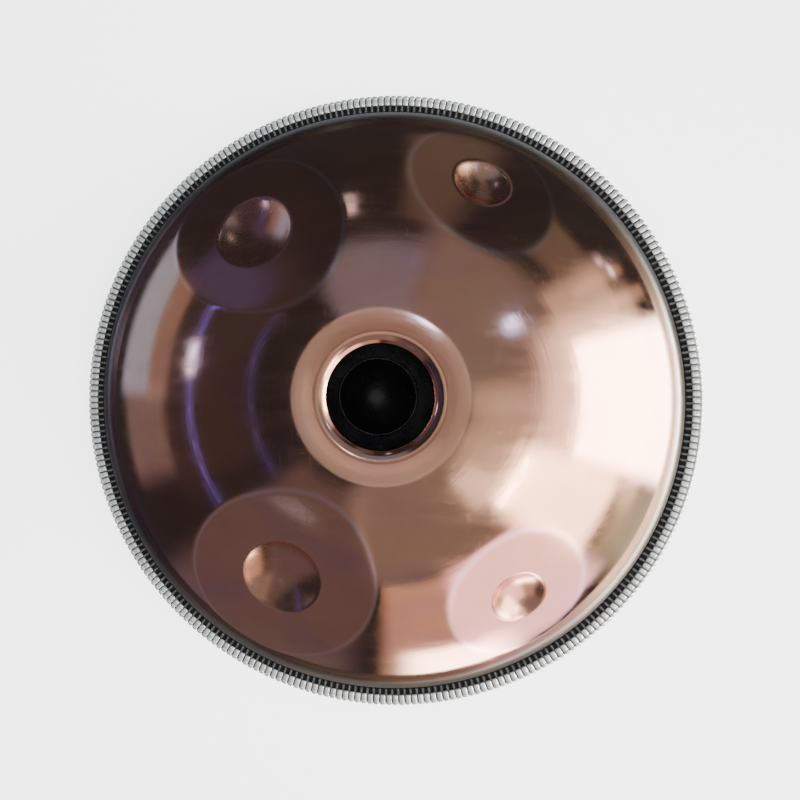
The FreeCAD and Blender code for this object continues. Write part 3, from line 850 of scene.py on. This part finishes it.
# The studio the shell mirrors, as soft panels. Each has a name, azimuth, half width, the angles
# from straight up where it starts and ends, the softness of its edges (all in degrees), colour
# and strength. The places and colours follow what the shell shows in the photograph.
PANELS = [
    ("ceiling", 0, 180, -20, 11, 3, (1.0, 0.92, 0.88), 0.22),
    ("ceiling_ring", 0, 180, 4.6, 11, 3, (1.0, 0.88, 0.8), 0.12),
    ("ceiling_glow", -120, 80, 4.6, 13, 4, (1.0, 0.9, 0.84), 0.34),
    ("ceiling_edge", 0, 180, 11, 23, 4, (1.0, 1.0, 1.0), 0.42),
    ("bevel_lamp", 57, 7, 16, 21, 1.5, (0.6, 0.85, 1.5), 8.0),
    ("front_fill", -62, 42, 18, 62, 14, (1.0, 0.97, 0.92), 0.26),
    ("glow", -16, 20, 28, 64, 18, (1.0, 0.95, 0.85), 0.7),
    ("side_fill", 32, 40, 18, 60, 14, (0.95, 0.98, 1.0), 0.24),
    ("cool_fill", 94, 22, 18, 50, 10, (0.8, 1.0, 1.4), 0.26),
    ("window", -1, 16, 64, 150, 5, (1.0, 1.0, 1.0), 16.0),
    ("window_edge", -1, 22, 52, 104, 12, (1.0, 0.95, 0.88), 2.0),
    ("low_window", -30, 12, 47, 90, 9, (1.0, 0.93, 0.82), 7.0),
    ("table_patch", -43, 7, 33, 46, 6, (1.0, 0.95, 0.9), 1.6),
    ("bronze_wall", -27, 9, 96, 130, 12, (0.85, 1.0, 0.7), 0.9),
    ("curtain", -53, 15, 60, 112, 8, (1.0, 0.75, 0.9), 2.8),
    ("side_curtain", 25, 7, 60, 94, 6, (1.0, 0.92, 0.85), 0.8),
    ("streak", 22, 1.2, 92, 116, 2, (1.0, 0.7, 0.6), 0.8),
    ("far_streak", 28, 1, 74, 108, 2, (1.0, 0.7, 0.6), 0.55),
    ("table_light", -72, 11, 101, 150, 8, (1.0, 0.9, 0.85), 12.0),
    ("warm_wall", -77, 11.5, 62, 150, 5, (1.0, 0.74, 0.6), 0.8),
    ("left_wall", -118, 22, 30, 150, 10, (0.95, 0.8, 0.95), 0.13),
    ("pale_patch", -121, 3.5, 53.5, 57.5, 2, (0.7, 0.95, 1.4), 0.28),
    ("back_wall", 73, 9, 58, 112, 6, (1.0, 0.95, 0.85), 0.1),
    ("side_wall", 40, 7, 70, 92, 6, (1.0, 0.88, 0.8), 0.15),
    ("far_window", 159, 20, 91, 112, 5, (0.42, 0.6, 0.95), 0.95),
    ("window_frame", 159, 21, 78, 91, 5, (0.95, 0.75, 0.75), 0.3),
    ("brown_wall", 165, 42, 42, 82, 12, (1.0, 0.72, 0.7), 0.03),
    ("far_wall", 189, 11, 80, 108, 8, (0.95, 0.88, 1.0), 0.22),
    ("tube", 178, 38, 64.2, 66.2, 1, (0.25, 0.25, 1.6), 0.8),
    ("inner_tube", 178, 40, 40.2, 41.4, 1, (0.3, 0.3, 1.4), 0.35),
    ("tube_end", 133, 5, 58, 84, 6, (0.25, 0.25, 1.4), 0.12),
    ("tube_glare", 168, 5, 64, 68, 2, (0.65, 0.8, 1.3), 4.0),
    ("lamp", 28.5, 2.2, 45, 49, 2, (0.5, 0.75, 1.5), 9.0),
    ("strip_lamp", -32, 10, 48.6, 50.6, 1.2, (1.0, 1.0, 1.0), 20.0),
    ("door_edge", 98, 1.4, 61, 71, 2, (0.8, 0.95, 1.1), 1.6),
    ("small_window", 31.5, 0.9, 96, 98, 1, (0.9, 0.9, 1.2), 4.0),
    ("small_window_low", 28.5, 1.3, 99, 101.5, 1, (0.9, 0.9, 1.2), 4.0),
]


# The studio's light between the panels, and how bright the room behind the floor is.
AMBIENT, BACKDROP = (0.038, 0.042, 0.052), 6.0


def make_world():
    """A plain pale room to the camera. The shell and the other pieces see the studio's panels."""
    world = bpy.data.worlds.new("studio")
    bpy.context.scene.world = world
    world.use_nodes = True
    tree = world.node_tree
    add, join = tree.nodes.new, tree.links.new
    place = add("ShaderNodeTexCoord").outputs["Generated"]

    def compute(operation, a, b=0.0):
        node = add("ShaderNodeMath")
        node.operation = operation
        for socket, value in zip(node.inputs, (a, b)):
            if isinstance(value, bpy.types.NodeSocket):
                join(value, socket)
            else:
                socket.default_value = value
        return node.outputs[0]

    def edge(value, low, high, start, end):
        node = add("ShaderNodeMapRange")
        node.interpolation_type = "SMOOTHSTEP"
        join(value, node.inputs["Value"])
        limits = {"From Min": low, "From Max": high, "To Min": start, "To Max": end}
        for key, number in limits.items():
            node.inputs[key].default_value = number
        return node.outputs["Result"]

    upright = add("ShaderNodeSeparateXYZ")
    join(place, upright.inputs[0])
    from_up = compute("ARCCOSINE", upright.outputs["Z"])
    total = None
    for _, azimuth, half, start, end, soft, colour, strength in PANELS:
        spin = add("ShaderNodeVectorRotate")
        spin.rotation_type = "Z_AXIS"
        spin.inputs["Angle"].default_value = -math.radians(azimuth)
        join(place, spin.inputs["Vector"])
        flat = add("ShaderNodeSeparateXYZ")
        join(spin.outputs[0], flat.inputs[0])
        aside = compute("ABSOLUTE", compute("ARCTAN2", flat.outputs["Y"], flat.outputs["X"]))
        blur, half = math.radians(soft), math.radians(half)
        wide = edge(aside, half - blur / 2, half + blur / 2, 1, 0)
        first, last = math.radians(start), math.radians(end)
        opened = edge(from_up, first - blur / 2, first + blur / 2, 0, 1)
        closed = edge(from_up, last - blur / 2, last + blur / 2, 1, 0)
        amount = compute("MULTIPLY", wide, compute("MULTIPLY", opened, closed))
        if half >= math.pi:
            amount = compute("MULTIPLY", opened, closed)
        glow = add("ShaderNodeVectorMath")
        glow.operation = "SCALE"
        glow.inputs[0].default_value = [part * strength for part in colour]
        join(amount, glow.inputs["Scale"])
        if total is None:
            total = glow.outputs[0]
            continue
        both = add("ShaderNodeVectorMath")
        both.operation = "ADD"
        join(total, both.inputs[0])
        join(glow.outputs[0], both.inputs[1])
        total = both.outputs[0]
    base = add("ShaderNodeVectorMath")
    base.operation = "ADD"
    join(total, base.inputs[0])
    base.inputs[1].default_value = AMBIENT
    studio = tree.nodes["Background"]
    join(base.outputs[0], studio.inputs["Color"])
    backdrop = add("ShaderNodeBackground")
    backdrop.inputs["Color"].default_value = (1, 1, 1, 1)
    backdrop.inputs["Strength"].default_value = BACKDROP
    shown = add("ShaderNodeMixShader")
    join(add("ShaderNodeLightPath").outputs["Is Camera Ray"], shown.inputs[0])
    join(studio.outputs[0], shown.inputs[1])
    join(backdrop.outputs[0], shown.inputs[2])
    join(shown.outputs[0], tree.nodes["World Output"].inputs["Surface"])


def make_floor_light():
    """A wide soft light overhead for the floor and the matt pieces. The shell doesn't mirror it."""
    light = bpy.data.lights.new("overhead", "AREA")
    light.shape = "DISK"
    light.size = 3.0
    light.energy = 380
    lamp = bpy.data.objects.new("overhead", light)
    lamp.location = (0.3, -0.2, 2.4)
    lamp.visible_camera = False
    lamp.visible_glossy = False
    bpy.context.scene.collection.objects.link(lamp)


def make_camera():
    """The photograph's view, held close over the port and a little off the axis.

    It is placed by its height over the parting plane and by the direction it looks along.
    """
    camera = bpy.data.cameras.new("camera")
    camera.lens = 27.05
    camera.sensor_width = 36
    camera.shift_x, camera.shift_y = 0.12, -0.0239
    camera.clip_start = 0.01
    holder = bpy.data.objects.new("camera", camera)
    look = Vector((-0.1145, 0.0242, -0.9931)).normalized()
    right = look.cross(Vector((0, 1, 0))).normalized()
    up = right.cross(look)
    turn = Matrix((right, up, -look)).transposed()
    holder.matrix_world = Matrix.Translation((-0.0049, 0.0012, PARTING + 0.56)) @ turn.to_4x4()
    bpy.context.scene.collection.objects.link(holder)
    bpy.context.scene.camera = holder


make_floor()
make_world()
make_floor_light()
make_camera()
